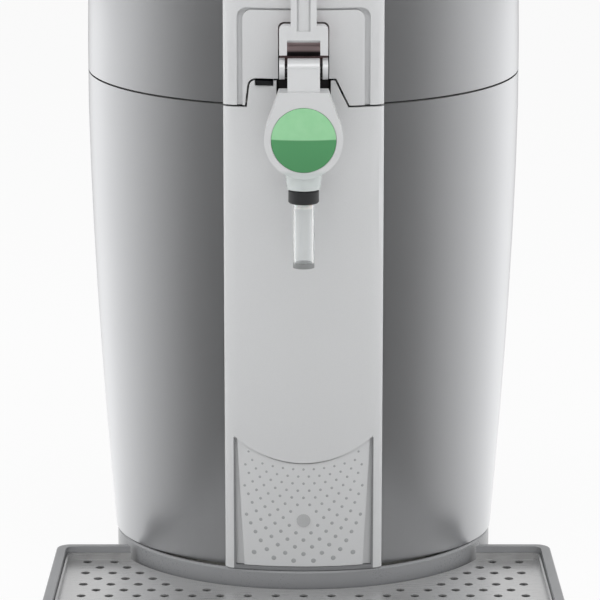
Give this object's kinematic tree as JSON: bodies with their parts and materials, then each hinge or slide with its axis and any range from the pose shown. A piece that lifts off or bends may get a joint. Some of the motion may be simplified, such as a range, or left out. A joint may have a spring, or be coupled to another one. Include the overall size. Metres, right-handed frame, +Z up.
{
  "type": "mini keg beer dispenser",
  "caption": "Counter-top cooler for a small keg with a hinged lid, lever tap with flap head and round badge, clear spout and a removable drip tray with a perforated grid.",
  "frame": {"origin": "on the table, in the plane of symmetry, under the middle of the whole from front to back, 20.5 mm in front of the keg chamber axis", "axes": "+Z up, front towards -Y, +X to the right seen from the front"},
  "size_m": [0.3216, 0.489, 0.468],
  "materials": {
    "casing_silver": "metallic painted moulding",
    "panel_silver": "satin metallic paint",
    "rear_grey": "fine spark grain",
    "collar_grey": "smooth satin",
    "tray_grey": "satin",
    "grid_steel": "brushed",
    "cup_aluminium": "drawn",
    "cooler_aluminium": "milled",
    "foam": "moulded bead foam",
    "rubber": "matt",
    "black_plastic": "gloss",
    "valve_brown": "satin",
    "clear_plastic": "clear moulding",
    "head_plastic": "gloss",
    "lever_plastic": "satin metallic paint",
    "badge_green": "domed gloss",
    "steel": "plain",
    "board": "solder mask",
    "ceramic": "fired",
    "line_tube": "translucent",
    "lamp_lens": "frosted"
  },
  "bodies": {
    "casing": {"side_shell_left": "casing_silver", "side_shell_right": "casing_silver", "rear_cover": "rear_grey", "case_screws": "steel", "front_panel": "panel_silver", "splash_plate": "panel_silver", "pilot_lamp_lens": "lamp_lens", "lamp_board": "board", "base_collar": "collar_grey", "base_tub": "rear_grey", "feet": "rubber", "foam_jacket": "foam", "cooling_cup": "cup_aluminium", "temperature_sensor": "steel", "chamber_deck": "rear_grey", "chamber_seal": "rubber", "cold_block": "cooler_aluminium", "thermoelectric_module": "ceramic", "heat_sink": "cooler_aluminium", "sink_screws": "steel", "fan_frame": "black_plastic", "power_supply": "black_plastic", "control_board": "board", "power_inlet": "black_plastic", "switch_frame": "black_plastic", "hinge_pin": "steel"},
    "lid": {"lid_shell_left": "casing_silver", "lid_shell_right": "casing_silver", "lid_centre_strip": "panel_silver", "tap_surround": "panel_silver", "lid_liner": "rear_grey", "lid_insulation": "foam", "latch_keeper": "steel", "tap_housing": "rear_grey", "tap_bracket": "steel", "tap_pin": "steel", "beer_line": "line_tube", "line_clips": "rear_grey", "keg_connector": "black_plastic", "spout_nozzle": "line_tube", "spout_collar": "black_plastic", "spout_tube": "clear_plastic"},
    "lever": {"tap_lever": "lever_plastic"},
    "plunger": {"valve_plunger": "valve_brown"},
    "tap_head": {"tap_head": "head_plastic"},
    "badge": {"tap_badge": "badge_green"},
    "latch": {"latch_bar": "black_plastic"},
    "drip_tray": {"drip_tray": "tray_grey"},
    "drip_grid": {"drip_grid": "grid_steel"},
    "rocker": {"power_rocker": "black_plastic"},
    "rotor": {"fan_rotor": "black_plastic"}
  },
  "joints": [
    {"name": "lid_hinge", "type": "hinge", "parent": "casing", "child": "lid", "pos_m": [0, 0.239, 0.3525], "axis": [-1, 0, 0], "range_deg": [0, 75]},
    {"name": "lever_pull", "type": "hinge", "parent": "lid", "child": "lever", "pos_m": [0, -0.1315, 0.365], "axis": [1, 0, 0], "range_deg": [0, 40]},
    {"name": "plunger_lift", "type": "slide", "parent": "lid", "child": "plunger", "axis": [0, 0, 1], "range_m": [0, 0.0063]},
    {"name": "head_flap", "type": "hinge", "parent": "lid", "child": "tap_head", "pos_m": [0, -0.1315, 0.365], "axis": [-1, 0, 0], "range_deg": [0, 55]},
    {"name": "badge_pull", "type": "slide", "parent": "tap_head", "child": "badge", "axis": [0, -1, 0], "range_m": [0, 0.02]},
    {"name": "latch_press", "type": "slide", "parent": "casing", "child": "latch", "axis": [0, 1, 0], "range_m": [0, 0.0025], "stiffness_N_per_m": 600},
    {"name": "tray_slide", "type": "slide", "parent": "casing", "child": "drip_tray", "axis": [0, -1, 0], "range_m": [0, 0.15]},
    {"name": "grid_lift", "type": "slide", "parent": "drip_tray", "child": "drip_grid", "axis": [0, 0, 1], "range_m": [0, 0.04]},
    {"name": "rocker_tilt", "type": "hinge", "parent": "casing", "child": "rocker", "pos_m": [0.0355, 0.227, 0.069], "axis": [-1, 0, 0], "range_deg": [0, 12]},
    {"name": "rotor_spin", "type": "hinge", "parent": "casing", "child": "rotor", "pos_m": [0, 0.1945, 0.155], "axis": [0, 1, 0], "continuous": true}
  ],
  "couplings": [
    {"joint": "plunger_lift", "follows": "lever_pull", "m_per_rad": 0.0088}
  ]
}
